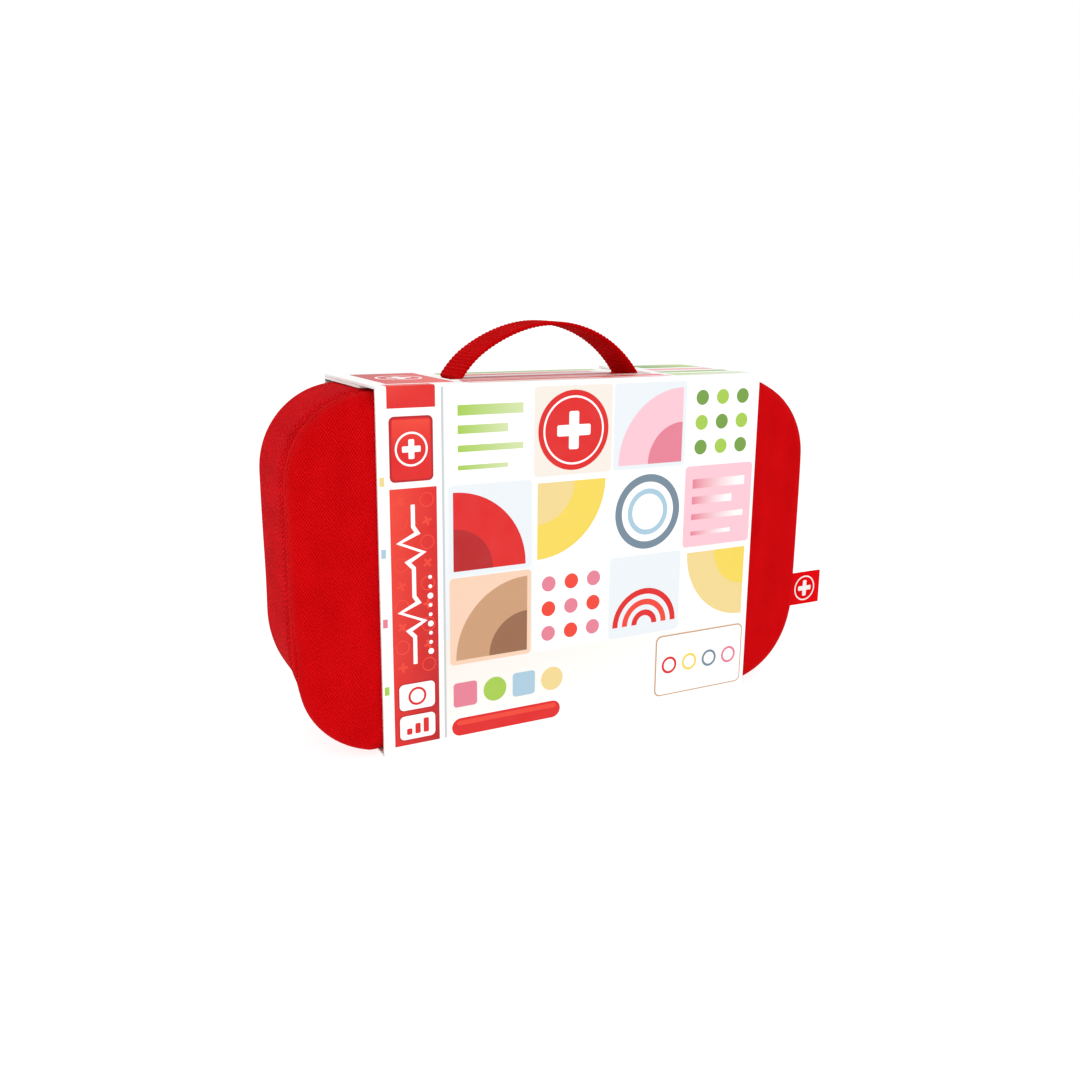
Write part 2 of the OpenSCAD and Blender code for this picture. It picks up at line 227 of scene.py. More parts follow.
TEXTILE = fabric("red_twill", (174, 0, 3), (234, 15, 21), thread=0.62)
GUSSET = fabric("red_gusset", (150, 0, 5), (236, 18, 28), thread=1.25, kind="dots", relief=0.14)
LINING = fabric("lining_taffeta", (128, 10, 22), (168, 22, 34), thread=0.45, kind="dots",
                relief=0.05, Roughness=0.6, Sheen_Weight=0.15)
TAPE = fabric("zip_tape", (150, 2, 8), (196, 10, 18), thread=0.5, relief=0.08)
WEBBING = fabric("red_webbing", (170, 0, 2), (210, 2, 8), thread=0.95, kind="rib", relief=0.14)
LABEL = fabric("label_satin", (206, 0, 6), (238, 8, 16), thread=0.34, relief=0.03, Roughness=0.6)
LABEL_WHITE = fabric("label_white", (226, 224, 222), (250, 250, 248), thread=0.34, relief=0.04)
ELASTIC = fabric("black_elastic", (18, 18, 20), (44, 44, 48), thread=0.7, kind="rib")
NETTING = fabric("dark_netting", (26, 26, 30), (58, 58, 64), thread=0.9, kind="dots", relief=0.15)
THREAD = fabric("red_thread", (176, 0, 4), (208, 8, 14), thread=0.22, relief=0.03, Roughness=0.6)
METAL = metal("satin_metal")
BOARD = board("grey_board")
CARD = card("white_card", linear(250, 250, 249))
CARD_EDGE = card("card_edge", linear(240, 240, 238))
INK = ink("print_ink")


# ---------------------------------------------------------------- mesh helpers
def mesh(name, points, faces, material, weave=None, smooth=True, extra=()):
    """A new object from millimetre points. weave is one (u, v) for each corner of each face."""
    data = bpy.data.meshes.new(name)
    data.from_pydata((np.asarray(points, float) * MM).tolist(), [],
                     [tuple(int(i) for i in f) for f in faces])
    for m in (material, *extra):
        data.materials.append(m)
    data.polygons.foreach_set("use_smooth", [smooth] * len(data.polygons))
    if weave is not None:
        layer = data.attributes.new("weave", "FLOAT_VECTOR", "CORNER")
        flat = np.zeros((len(data.loops), 3), np.float32)
        flat[:, :2] = np.asarray(weave, np.float32).reshape(-1, 2)
        layer.data.foreach_set("vector", flat.ravel())
    data.update()
    obj = bpy.data.objects.new(name, data)
    bpy.context.scene.collection.objects.link(obj)
    return obj


def outward(obj):
    """Turns a closed mesh's faces outward, keeping the corner attributes with their corners."""
    bm = bmesh.new()
    bm.from_mesh(obj.data)
    bmesh.ops.recalc_face_normals(bm, faces=bm.faces)
    bm.to_mesh(obj.data)
    bm.free()
    obj.data.update()
    return obj


# Each quad's corners as a step along the ring and a step to the next ring
QUAD = ((0, 0), (1, 0), (1, 1), (0, 1))


def ring_faces(count, sides, start=0):
    """Quads between rings of points, ring by ring."""
    faces = []
    for a in range(start, start + (count - 1) * sides, sides):
        for i in range(sides):
            n = (i + 1) % sides
            faces.append((a + i, a + n, a + sides + n, a + sides + i))
    return faces


def tube(count, sides, on_side, on_end, start=0):
    """Faces of a closed tube, and the weave at their corners: on_side(ring, column, and the
    corner's two steps) for the quads, on_end(ring, column) for the two ends."""
    faces = ring_faces(count, sides, start)
    weave = [on_side(j, i, *q) for j in range(count - 1) for i in range(sides) for q in QUAD]
    for j in (0, count - 1):
        faces.append(tuple(start + j * sides + i for i in range(sides)))
        weave += [on_end(j, i) for i in range(sides)]
    return faces, weave


def cells(columns, rows, kept=lambda r, c: True):
    """Quads between rows of points."""
    first = [r * columns + c for r in range(rows - 1) for c in range(columns - 1) if kept(r, c)]
    return [(a, a + 1, a + columns + 1, a + columns) for a in first]


def slab(n, tops):
    """Faces of a closed slab whose two layers hold n points each: the top faces and the same
    turned over below, and a wall at each edge that only one top face has."""
    edges = [(a, b) for f in tops for a, b in zip(f, f[1:] + f[:1])]
    known = set(edges)
    walls = [(b, a, n + a, n + b) for a, b in edges if (b, a) not in known]
    return list(tops) + [tuple(n + i for i in reversed(f)) for f in tops], walls


def walk(path, normals):
    """The length of a path, and a function that gives its point and unit normal on the way."""
    seg = np.linalg.norm(np.diff(path, axis=0), axis=1)
    at = np.concatenate([[0], np.cumsum(seg)])

    def on(s):
        k = min(max(int(np.searchsorted(at, s) - 1), 0), len(seg) - 1)
        t = (s - at[k]) / max(seg[k], 1e-9)
        n = normals[k] + (normals[k + 1] - normals[k]) * t
        return path[k] + (path[k + 1] - path[k]) * t, n / np.linalg.norm(n)

    return at[-1], on


def arc(cx, cz, r, a0, a1, n):
    """Points on an arc between two angles in degrees, both ends included."""
    turns = [math.radians(a0 + (a1 - a0) * k / n) for k in range(n + 1)]
    return [(cx + r * math.cos(a), cz + r * math.sin(a)) for a in turns]


# ---------------------------------------------------------------- the case's outline
# Steps along the outline's long sides, its short sides and each corner
N_W, N_H, N_C = 60, 24, 24

def smooth(t):
    t = np.clip(t, 0.0, 1.0)
    return t * t * (3 - 2 * t)


def radii(depth):
    """Radii of the bottom, top right and top left corners. They are the CAD source's at the zip;
    the padding fills the near panel's lower corners out and draws the tray's in."""
    front, back = smooth((depth - ZIP_D - 1) / 7), smooth((ZIP_D - 1 - depth) / 9)
    return FOOT_R - 6.5 * front + 7.5 * back, CORNER + 2.0 * front + 4.0 * back, CORNER + front


def outline(inset, depth):
    """Rows of x, z from the middle, and the outward normal, counterclockwise from bottom middle."""
    w, h = HALF_W - inset, HALF_H - inset
    rb, right, left = (max(r - inset, 4.0) for r in radii(depth))
    rows = []

    def side(x0, z0, x1, z1, n, nx, nz):
        for k in range(n):
            t = k / n
            rows.append((x0 + (x1 - x0) * t, z0 + (z1 - z0) * t, nx, nz))

    def corner(cx, cz, r, start):
        for k in range(N_C):
            a = start + math.pi / 2 * k / N_C
            rows.append((cx + r * math.cos(a), cz + r * math.sin(a), math.cos(a), math.sin(a)))

    side(0, -h, w - rb, -h, N_W // 2, 0, -1)
    corner(w - rb, -h + rb, rb, -math.pi / 2)
    side(w, -h + rb, w, h - right, N_H, 1, 0)
    corner(w - right, h - right, right, 0)
    side(w - right, h, -w + left, h, N_W, 0, 1)
    corner(-w + left, h - left, left, math.pi / 2)
    side(-w, h - left, -w, -h + rb, N_H, -1, 0)
    corner(-w + rb, -h + rb, rb, math.pi)
    side(-w + rb, -h, 0, -h, N_W // 2, 0, -1)
    return np.array(rows)


def settle(points):
    """How the filled case sits: the tray narrows to the back, and past the sleeve its bottom rises
    while the near panel's sags. Nothing moves at the zip."""
    x, y, z = points[..., 0], points[..., 1], points[..., 2]
    depth, out = -y, np.abs(x)
    front, back = smooth((depth - ZIP_D - 2) / 6), smooth((ZIP_D - 2 - depth) / 8)
    far = np.clip((TRAY_RIM_D - depth) / 51.5, 0, 1)
    bare, free = smooth((out - 102) / 16), smooth((out - 102.6) / 3)
    low, high = smooth((55 - z) / 45), smooth((z - 110) / 50)
    wide = np.clip((out - 50) / 89.6, 0, 1) ** 2
    # the left side's waists, and the right side's slack
    waist = 1.7 * front * np.exp(-((z - 47) / 14) ** 2) + 0.6 * back * np.exp(-((z - 76) / 24) ** 2)
    dx = -np.sign(x) * wide * (back * (0.3 + 0.9 * far) + np.where(x < 0, waist, 0))
    dx = dx - np.where(x > 0, 0.5 * wide * (front + back), 0)
    dz = low * (bare * back * 1.9 * far - free * front * 1.5)
    dz = dz - np.where(x > 0, bare * high * (1.1 * front + 1.3 * back), 0)
    return np.stack([x + dx, y, z + dz], -1)


OUTER = outline(0, ZIP_D)
RING = len(OUTER)
STEPS = np.linalg.norm(np.roll(OUTER[:, :2], -1, 0) - OUTER[:, :2], axis=1)
ARC = np.concatenate([[0], np.cumsum(STEPS)])
HEIGHT = MID_Z + OUTER[:, 1]


def arc_points(ci, cd, r, a0, a1, n):
    """Stations on an arc about (inset, depth). The angle is 0 outward and 90 towards the front."""
    return [(-i, d) for i, d in arc(-ci, cd, r, a0, a1, n)]


def loft(stations, spread_rim=None):
    """Rings of points for (inset, depth) stations. spread_rim gives each ring's extra depth."""
    rings = []
    for inset, depth in stations:
        o = outline(inset, depth)
        d = np.full(RING, depth, float)
        if spread_rim is not None:
            d += spread_rim(depth)
        rings.append(np.stack([o[:, 0], -d, MID_Z + o[:, 1]], 1))
    return settle(np.array(rings))


def shell(name, stations, material, seam=None, second=None, rings=None, spread_rim=None):
    """A closed padded skin lofted round the case's outline. seam says behind which stations the
    faces take the second material and run their weave along the outline and the depth."""
    rings = loft(stations, spread_rim) if rings is None else rings
    steps = np.linalg.norm(np.diff(np.array(stations), axis=0), axis=1)
    # the weave is laid flat on the face and unrolled over its edge
    insets = np.array([s[0] for s in stations])
    off_flat = np.where(np.minimum(insets[:-1], insets[1:]) < LID_EDGE_R - 1e-6, steps, 0.0)
    run = np.concatenate([[0], np.cumsum(off_flat)])
    run = np.minimum(run, run[-1] - run)
    flat = [outline(max(inset, LID_EDGE_R), depth) for inset, depth in stations]
    uv = [o[:, :2] + o[:, 2:4] * r for o, r in zip(flat, run)]

    def on_side(j, i, a, b):
        column = (i + a) % RING
        if seam and seam(j):
            return ARC[i + a], -rings[j + b][column][1]
        return tuple(uv[j + b][column])

    faces, weave = tube(len(rings), RING, on_side, lambda j, i: tuple(uv[j][i]))
    obj = mesh(name, rings.reshape(-1, 3), faces, material, weave,
               extra=(second,) if second else ())
    if second:
        index = np.repeat([int(seam(j)) for j in range(len(rings) - 1)] + [0], RING)
        obj.data.polygons.foreach_set("material_index", index[:len(faces)].tolist())
    return outward(obj)


def puffed(rings, pinned, pressure, cap):
    """Where the outer skin goes when the padding pushes it out: a short cloth simulation on the
    skin alone, held at its rim and under the sleeve."""
    count, frames = len(rings), 14
    faces = ring_faces(count, RING) + [tuple((count - 1) * RING + i for i in range(RING))]
    obj = mesh("puff_work", rings.reshape(-1, 3), [f[::-1] for f in faces], TEXTILE)
    group = obj.vertex_groups.new(name="held")
    for i, w in enumerate(pinned.reshape(-1)):
        if w > 0:
            group.add([i], float(min(w, 1.0)), "REPLACE")
    cloth = obj.modifiers.new("cloth", "CLOTH")
    s = cloth.settings
    s.quality = 6
    s.mass = 0.25
    s.tension_stiffness = s.compression_stiffness = 18
    s.bending_stiffness = 4
    s.use_pressure = True
    s.uniform_pressure_force = pressure
    s.effector_weights.gravity = 0
    s.vertex_group_mass = "held"
    cloth.point_cache.frame_start, cloth.point_cache.frame_end = 1, frames
    scene = bpy.context.scene
    for f in range(1, frames + 1):
        scene.frame_set(f)
    done = obj.evaluated_get(bpy.context.evaluated_depsgraph_get()).to_mesh()
    moved = np.zeros(len(done.vertices) * 3)
    done.vertices.foreach_get("co", moved)
    moved = moved.reshape(-1, 3) / MM
    bpy.data.objects.remove(obj)
    scene.frame_set(1)
    rest = rings.reshape(-1, 3)
    step = moved - rest
    length = np.linalg.norm(step, axis=1, keepdims=True)
    step *= np.minimum(1.0, cap / np.maximum(length, 1e-6))
    return (rest + step).reshape(rings.shape)


def bend(obj):
    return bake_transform(obj)


# A stitch's rings: the way along it, its height and its thickness
STITCH = [(-0.5, -0.9, 0.35), (-0.36, 0.35, 0.9), (-0.12, 0.8, 1.0), (0.12, 0.8, 1.0),
          (0.36, 0.35, 0.9), (0.5, -0.9, 0.35)]


def stitches(name, path, normals, pitch=3.3, length=2.5, radius=0.28, lift=0.1):
    """A row of sewn stitches along a path: small threads that dive in at both ends."""
    path, sides = np.asarray(path, float), 6
    end, on = walk(path, np.asarray(normals, float))
    points, faces, weave = [], [], []
    for m in range(int(end / pitch)):
        start = len(points)
        for along, up, fat in STITCH:
            s = (m + 0.5) * pitch + along * length
            p, n = on(min(max(s, 0), end))
            tangent = on(min(max(s + 0.05, 0.05), end))[0] - p
            if np.linalg.norm(tangent) <= 1e-9:
                tangent = path[-1] - path[-2]
            tangent /= np.linalg.norm(tangent)
            across = np.cross(tangent, n)
            centre = p + n * (lift + radius * (up - 0.3))
            for k in range(sides):
                a = 2 * math.pi * k / sides
                points.append(centre + (across * math.cos(a) + n * math.sin(a)) * radius * fat)
        more, woven = tube(len(STITCH), sides, lambda j, i, a, b: (0.5 * (j + b), 0.3 * (i + a)),
                           lambda j, i: (0.3 * i, 0), start)
        faces += more
        weave += woven
    return outward(mesh(name, points, faces, THREAD, weave))


def ribbon(name, path, across, section, material):
    """A closed band: section gives (across, out) pairs round it for a way along it, path gives
    (point, out direction) pairs, across is one direction for the whole band."""
    across = np.asarray(across, float)
    middle, outs = (np.array(v, float) for v in zip(*path))
    runs = np.concatenate([[0], np.cumsum(np.linalg.norm(np.diff(middle, axis=0), axis=1))])
    points = [p + across * a + out * o
              for p, out, s in zip(middle, outs, runs) for a, o in section(s)]
    ring = section(0)
    girth = np.cumsum([0] + [math.dist(p, q) for p, q in zip(ring, ring[1:] + ring[:1])])
    faces, weave = tube(len(path), len(ring), lambda j, i, a, b: (girth[i + a], runs[j + b]),
                        lambda j, i: (girth[i], runs[j]))
    return outward(mesh(name, points, faces, material, weave))


# ---------------------------------------------------------------- padded shells
FLAT_INSETS = [9.3, 10.2, 11.2, 12.2, 13.3, 14.6, 16, 18, 21, 25, 30, 36, 43, 52, 62]
# How far a row of stitches pulls the wall in, and the rows' depths on the two panels
CHANNEL, NEAR_ROW_D, TRAY_ROW_D = 0.25, 25.9, 13.1
# The flaps lie between the slider's body and the pull's pin
FLAP_IN, FLAP_T, FLAP_REACH = 0.71, 0.17, 2.2
# How much further the flaps reach where the zip's slider doesn't run
SLIDER_RUN = smooth((HEIGHT - 38) / 12) * smooth((140 - HEIGHT) / 12)
CLOSE = 1.12 * (1 - np.where(OUTER[:, 0] > 0, SLIDER_RUN, 0))


def rolled_rim(rim, sign):
    """Rim of a padded wall, from its inner side to its outer side, with the thin textile flap that
    stands out of it and covers half of the zip."""
    deep, end = FLAP_IN + FLAP_T, rim - sign * FLAP_REACH
    return [(WALL, rim + sign * 0.8), (WALL - 0.3, rim + sign * 0.2), (WALL - 0.8, rim),
            (deep + 0.3, rim), (deep, rim - sign * 0.3), (deep, end + sign * 0.1),
            (FLAP_IN + FLAP_T / 2, end), (FLAP_IN, end + sign * 0.1), (FLAP_IN, rim - sign * 0.5),
            (0.3, rim + sign * 0.15), (0.07, rim + sign * 1.0)]


def sewn_channel(at, sign):
    """The wall pulled in along a row of stitches."""
    rows = ((0, -0.9), (0.6, -0.35), (1, 0), (0.6, 0.35), (0, 0.9))
    return [(CHANNEL * share, at + sign * way) for share, way in rows]


def share_of(value):
    return min(max(value, 0.0), 1.0)


def near_rim(depth):
    """The near flap reaches further back where the slider doesn't run."""
    return -CLOSE * share_of((LID_RIM_D - depth) / FLAP_REACH)


def tray_rim(depth):
    """The tray's flap reaches further where the slider doesn't run, and below the fold the whole
    rim reaches forward to the near panel's."""
    t = smooth((FOLD_Z + 2.5 - HEIGHT) / 3.0)
    reach = LID_RIM_D - TRAY_RIM_D - 2 * FLAP_REACH - 0.1 - CLOSE
    flap = CLOSE * share_of((depth - TRAY_RIM_D) / FLAP_REACH)
    return reach * t * share_of((depth - 2.0) / 9.0) + flap * (1 - t)


def skin(inner, out, rim, pressure, cap, foot=None):
    """The rings of a padded skin: its inner side as drawn, its outer side from the simulation,
    held at its rim, under the sleeve and below the height foot."""
    outer = loft(out, rim)
    held = np.clip(1 - (np.abs(outer[:, :, 0]) - 103) / 9, 0, 1)
    held[:len(rolled_rim(0, 1)) + len(sewn_channel(0, 1))] = 1
    if foot is not None:
        held = np.maximum(held, np.clip(1 - (outer[:, :, 2] - foot) / 8, 0, 1))
    return np.concatenate([loft(inner, rim), puffed(outer, held, pressure, cap)])


# stations run from the inner middle over the rim to the outer middle
near_out = (rolled_rim(LID_RIM_D, 1) + sewn_channel(NEAR_ROW_D, 1)
            + arc_points(LID_EDGE_R, FACE_D - LID_EDGE_R, LID_EDGE_R, 2, 90, 12)
            + [(i, FACE_D) for i in FLAT_INSETS])
inner_r = 5.3
near_in = ([(i, FACE_D - FACE_T) for i in FLAT_INSETS[::-1]]
           + arc_points(LID_EDGE_R, FACE_D - FACE_T - inner_r, inner_r, 90, 0, 8)
           + [(WALL, LID_RIM_D + 2.4)])
near_panel = shell("near_panel", near_in + near_out, TEXTILE,
                   rings=skin(near_in, near_out, near_rim, 3.0, 1.3, foot=16))
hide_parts("lid_shell", "front_sill")
bend(near_panel)

back_insets = [i for i in FLAT_INSETS if i > BACK_EDGE_R]
edge_out = arc_points(BACK_EDGE_R, FACE_D - BACK_EDGE_R, BACK_EDGE_R, 3, 90, 12)
tray_out = (rolled_rim(TRAY_RIM_D, -1) + sewn_channel(TRAY_ROW_D, -1)
            + [(0, d) for d in (9, 5, 1, -3, -8, -13, -18, -22)]
            + [(i, -d) for i, d in edge_out] + [(i, -FACE_D) for i in back_insets])
inner_r = 8.8
edge_in = arc_points(BACK_EDGE_R, FACE_D - FACE_T - inner_r, inner_r, 90, 0, 8)
tray_in = ([(i, -FACE_D + FACE_T) for i in back_insets[::-1]] + [(i, -d) for i, d in edge_in]
           + [(WALL, d) for d in (-18, -8, 2, 9, 13)])
SEAM_D = -21.0
tray_stations = tray_in + tray_out
tray = shell("tray_panel", tray_stations, TEXTILE, second=GUSSET,
             rings=skin(tray_in, tray_out, tray_rim, 2.0, 0.8),
             seam=lambda j: tray_stations[j][1] > SEAM_D and tray_stations[j + 1][1] > SEAM_D - 4)
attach(tray, "case")
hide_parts("rear_shell")

# rows of stitches beside the zip, in the two channels
for name, depth, body in (("near_rim_stitches", NEAR_ROW_D, None),
                          ("tray_rim_stitches", TRAY_ROW_D, "case")):
    o = outline(CHANNEL, depth)
    reach = tray_rim(depth) if body else 0
    path = settle(np.stack([o[:, 0], -(depth + reach * np.ones(RING)), MID_Z + o[:, 1]], 1))
    normal = np.stack([o[:, 2], np.zeros(RING), o[:, 3]], 1)
    row = stitches(name, np.concatenate([path, path[:1]]), np.concatenate([normal, normal[:1]]),
                   radius=0.2, lift=0.02)
    if body:
        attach(row, body)
    else:
        bend(row)

# ---------------------------------------------------------------- linings
L_OUT, L_T, L_FACE_D = 3.95, 0.7, 31.1


def lining_stations(rim, edge_r, sign):
    """Stations of a lining from its inner middle over its rim to its outer middle."""
    inner_r, outer_r = max(edge_r - L_OUT - L_T, 2.0), edge_r - L_OUT
    deep, flat = L_OUT + L_T, L_FACE_D - L_T
    insets = [i for i in FLAT_INSETS if i > edge_r]
    wall = np.linspace(flat - inner_r, rim, 7)[1:-1]
    rows = [(i, flat) for i in insets[::-1]]
    rows += arc_points(deep + inner_r, flat - inner_r, inner_r, 90, 0, 6)
    rows += [(deep, d) for d in wall]
    rows += [(L_OUT + L_T * 0.9, rim + 0.1), (L_OUT + L_T / 2, rim), (L_OUT + L_T * 0.1, rim + 0.1)]
    rows += [(L_OUT, d) for d in wall[::-1]]
    rows += arc_points(L_OUT + outer_r, L_FACE_D - outer_r, outer_r, 0, 90, 6)
    rows += [(i, L_FACE_D) for i in insets]
    return [(i, sign * d) for i, d in rows]


lid_lining = shell("lid_lining_cloth", lining_stations(LID_RIM_D + 0.3, LID_EDGE_R, 1), LINING)
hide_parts("lid_lining", "hinge_tape", "sill_lining")
bend(lid_lining)

tray_lining = shell("tray_lining_cloth", lining_stations(-TRAY_RIM_D + 0.3, BACK_EDGE_R, -1),
                    LINING, spread_rim=tray_rim)
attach(tray_lining, "case")
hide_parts("rear_lining")

# ---------------------------------------------------------------- zip
open_run = [i for i in range(RING) if HEIGHT[i] > FOLD_Z + 0.8]
TAPE_IN, TAPE_T = 3.25, 0.5


def zip_section(d0, d1):
    """Section of a zip tape: across is the depth, out is outward from the case."""
    mid = (d0 + d1) / 2
    return [(-d0, 0), (-mid, 0.03), (-d1, 0), (-d1, -TAPE_T), (-mid, -TAPE_T), (-d0, -TAPE_T)]


def run_path(inset):
    """The zip's run round the case as (point, outward) pairs, at no depth."""
    o = outline(inset, ZIP_D)
    return [((o[i, 0], 0, MID_Z + o[i, 1]), (o[i, 2], 0, o[i, 3])) for i in open_run]


for name, node, d0, d1, body in (("zip_tape_tray_cloth", "zip_tape_rear", 11.6, 19.4, "case"),
                                 ("zip_tape_lid_cloth", "zip_tape_lid", 27.4, 19.6, "lid")):
    tape = ribbon(name, run_path(TAPE_IN), (0, 1, 0), lambda s, a=d0, b=d1: zip_section(a, b), TAPE)
    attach(tape, body)
    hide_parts(node)


def coil(name, node, centre_d, phase, body):
    """A nylon coil: one thick thread wound along the zip's run."""
    end, on = walk(*(np.array(v, float) for v in zip(*run_path(TAPE_IN - 0.95))))
    pitch, per_turn, sides, wire = 1.5, 10, 5, 0.3
    total = int(end / pitch) * per_turn
    centre = np.zeros((total + 1, 3))
    for k in range(total + 1):
        p, n = on(min(k * pitch / per_turn, end - 1e-6))
        a = 2 * math.pi * k / per_turn + phase
        # flattened loops, wider across the zip than they are high
        centre[k] = p + n * 0.62 * math.sin(a) + np.array([0, -centre_d + 0.95 * math.cos(a), 0])
    tangent = np.gradient(centre, axis=0)
    tangent /= np.linalg.norm(tangent, axis=1, keepdims=True)
    side = np.cross(tangent, [0.0, 1.0, 0.0])
    bad = np.linalg.norm(side, axis=1) < 0.2
    side[bad] = np.cross(tangent[bad], [1.0, 0.0, 0.0])
    side /= np.linalg.norm(side, axis=1, keepdims=True)
    up = np.cross(side, tangent)
    turns = [2 * math.pi * q / sides for q in range(sides)]
    points = np.stack([centre + (side * math.cos(a) + up * math.sin(a)) * wire for a in turns], 1)
    faces, weave = tube(total + 1, sides, lambda j, i, a, b: (0.2 * j, 0.3 * i),
                        lambda j, i: (0, 0.3 * i))
    made = outward(mesh(name, points.reshape(-1, 3), faces, THREAD, weave))
    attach(made, body)
    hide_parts(node)


coil("zip_coil_tray_thread", "zip_coil_rear", 18.55, 0.0, "case")
coil("zip_coil_lid_thread", "zip_coil_lid", 20.45, math.pi, "lid")

# ---------------------------------------------------------------- handle
ARC_R, ARC_Z = 56.68, 137.02
FLAT_Z = 165.1


def webbing_path():
    """The strap's middle line: sewn end, bend, arch, bend, sewn end."""
    bend_r = 4.0
    # the fillet between the flat end and the arch
    centre_z = FLAT_Z + bend_r
    reach = math.sqrt((ARC_R + bend_r) ** 2 - (centre_z - ARC_Z) ** 2)
    touch = math.atan2(centre_z - ARC_Z, reach)
    right = [(ARC_R * math.cos(a), ARC_Z + ARC_R * math.sin(a), math.cos(a), math.sin(a))
             for a in np.linspace(math.pi / 2, touch, 170)]
    right += [(reach + bend_r * math.cos(a), centre_z + bend_r * math.sin(a), -math.cos(a),
               -math.sin(a)) for a in np.linspace(touch + math.pi, math.pi * 1.5, 14)[1:]]
    right += [(x, FLAT_Z, 0.0, 1.0) for x in np.linspace(reach, 77.3, 60)[1:]]
    # the left leg stands a little fuller
    left = [(-x - 2.3 * float(smooth((z - 166.5) / 3) * (1 - smooth((z - 176) / 17))), z, -nx, nz)
            for x, z, nx, nz in right[:0:-1]]
    y = (HANDLE_Y0 + HANDLE_Y1) / 2
    return [((HANDLE_X + x, y, z), (nx, 0, nz)) for x, z, nx, nz in left + right]


def webbing_section(s):
    """Ribbed webbing: full in the middle of each rib, thin between, rounded at both sides."""
    half_w, half_t = 12.45, 0.8 + 0.17 * math.cos(2 * math.pi * s / 2.1)
    side = [(half_w - 0.9, half_t * 0.98), (half_w - 0.25, half_t * 0.7), (half_w, 0.0)]
    top = [(-x, t) for x, t in side[::-1]] + [(x, half_t) for x in (-8, -4, 0, 4, 8)] + side
    return top + [(x, -t) for x, t in top[-2:0:-1]]


strap = ribbon("handle_webbing", webbing_path(), (0, 1, 0), webbing_section, WEBBING)
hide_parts("handle_strap", "handle_end_left", "handle_end_right")
bend(strap)

for side in (-1, 1):
    x0, x1 = HANDLE_X + side * 53, HANDLE_X + side * 75
    y0, y1, z = HANDLE_Y0 + 2, HANDLE_Y1 - 2, 166.05
    box = [(x0, y0, z), (x1, y0, z), (x1, y1, z), (x0, y1, z), (x0, y0, z), (x1, y1, z)]
    row = stitches("handle_end_stitches_" + ("left" if side < 0 else "right"), box,
                   [(0, 0, 1)] * len(box), pitch=2.7, length=2.1, radius=0.22, lift=-0.14)
    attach(row, "case")

# ---------------------------------------------------------------- label
LABEL_Z0, LABEL_Z1, LABEL_Y = 37.75, 56.25, -27.5


def label_path():
    """A woven label folded at its outer end, its two layers a little apart."""
    top = [(136.6, -0.32), (138.5, -0.3), (140.5, -0.34), (146, -0.42), (152, -0.46), (157, -0.45),
           (160.2, -0.4), (161.1, -0.28), (161.5, 0)]
    path = top + [(x, -y) for x, y in top[-2::-1]]
    out = []
    for k, (x, y) in enumerate(path):
        x0, y0 = path[max(k - 1, 0)]
        x1, y1 = path[min(k + 1, len(path) - 1)]
        t = np.array([x1 - x0, y1 - y0])
        t /= np.linalg.norm(t)
        out.append(((x, LABEL_Y + y, (LABEL_Z0 + LABEL_Z1) / 2), (t[1], -t[0], 0)))
    return out


def label_section(s):
    w = (LABEL_Z1 - LABEL_Z0) / 2
    return [(-w, -0.05), (-w + 0.3, 0.08), (-w / 2, 0.1), (0, 0.1), (w / 2, 0.1), (w - 0.3, 0.08),
            (w, -0.05), (w - 0.3, -0.16), (0, -0.18), (-w + 0.3, -0.16)]


label = ribbon("side_label", label_path(), (0, 0, 1), label_section, LABEL)
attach(label, "lid")
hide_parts("side_tab")


# ---------------------------------------------------------------- flat shapes
def disc(cx, cz, r, n=40):
    return arc(cx, cz, r, 0, 360, n)[:-1]


def plate(x0, z0, x1, z1, r=0.0):
    """A rectangle with round corners."""
    if r <= 0:
        return [(x0, z0), (x1, z0), (x1, z1), (x0, z1)]
    corners = ((x1 - r, z0 + r), (x1 - r, z1 - r), (x0 + r, z1 - r), (x0 + r, z0 + r))
    return [p for k, c in enumerate(corners) for p in arc(*c, r, 90 * k - 90, 90 * k, 6)]


def turned(points, degrees):
    c, s = math.cos(math.radians(degrees)), math.sin(math.radians(degrees))
    return [(x * c - z * s, x * s + z * c) for x, z in points]


def plus(cx, cz, size, arm, turn=0.0):
    """A plain plus sign, size across and arm wide, with slightly round ends."""
    h, a, r = size / 2, arm / 2, arm * 0.12
    quarter = [(h - r, a), (h, a - r), (h, -a + r), (h - r, -a), (a, -a)]
    whole = [p for k in range(4) for p in turned(quarter, -90 * k)]
    return [(cx + x, cz + z) for x, z in turned(whole, turn)]


def stroke(points, width):
    """A line of even width through points, as one outline with mitred bends."""
    pts = [np.array(p, float) for p in points]
    left, right = [], []
    for k, p in enumerate(pts):
        sides = []
        for a, b in ((k - 1, k), (k, k + 1)):
            if a >= 0 and b < len(pts):
                d = (pts[b] - pts[a]) / np.linalg.norm(pts[b] - pts[a])
                sides.append(np.array([-d[1], d[0]]))
        n = sum(sides) / len(sides)
        n = n / max(np.dot(n, n), 0.3) * width / 2
        left.append(tuple(p + n))
        right.append(tuple(p - n))
    return right + left[::-1]


def crease_point(x, s, h):
    """A point on the sleeve: s is the way up its front and on over the top, h stands off."""
    r = BEND_R
    if s <= SLEEVE_TOP - r:
        return (x, -SLEEVE_Y - h, s)
    if s >= SLEEVE_TOP + r:
        return (x, -SLEEVE_Y + s - SLEEVE_TOP, SLEEVE_TOP + h)
    a = (s - SLEEVE_TOP + r) / (2 * r) * math.pi / 2
    return (x, -SLEEVE_Y + r - (r + h) * math.cos(a), SLEEVE_TOP - r + (r + h) * math.sin(a))


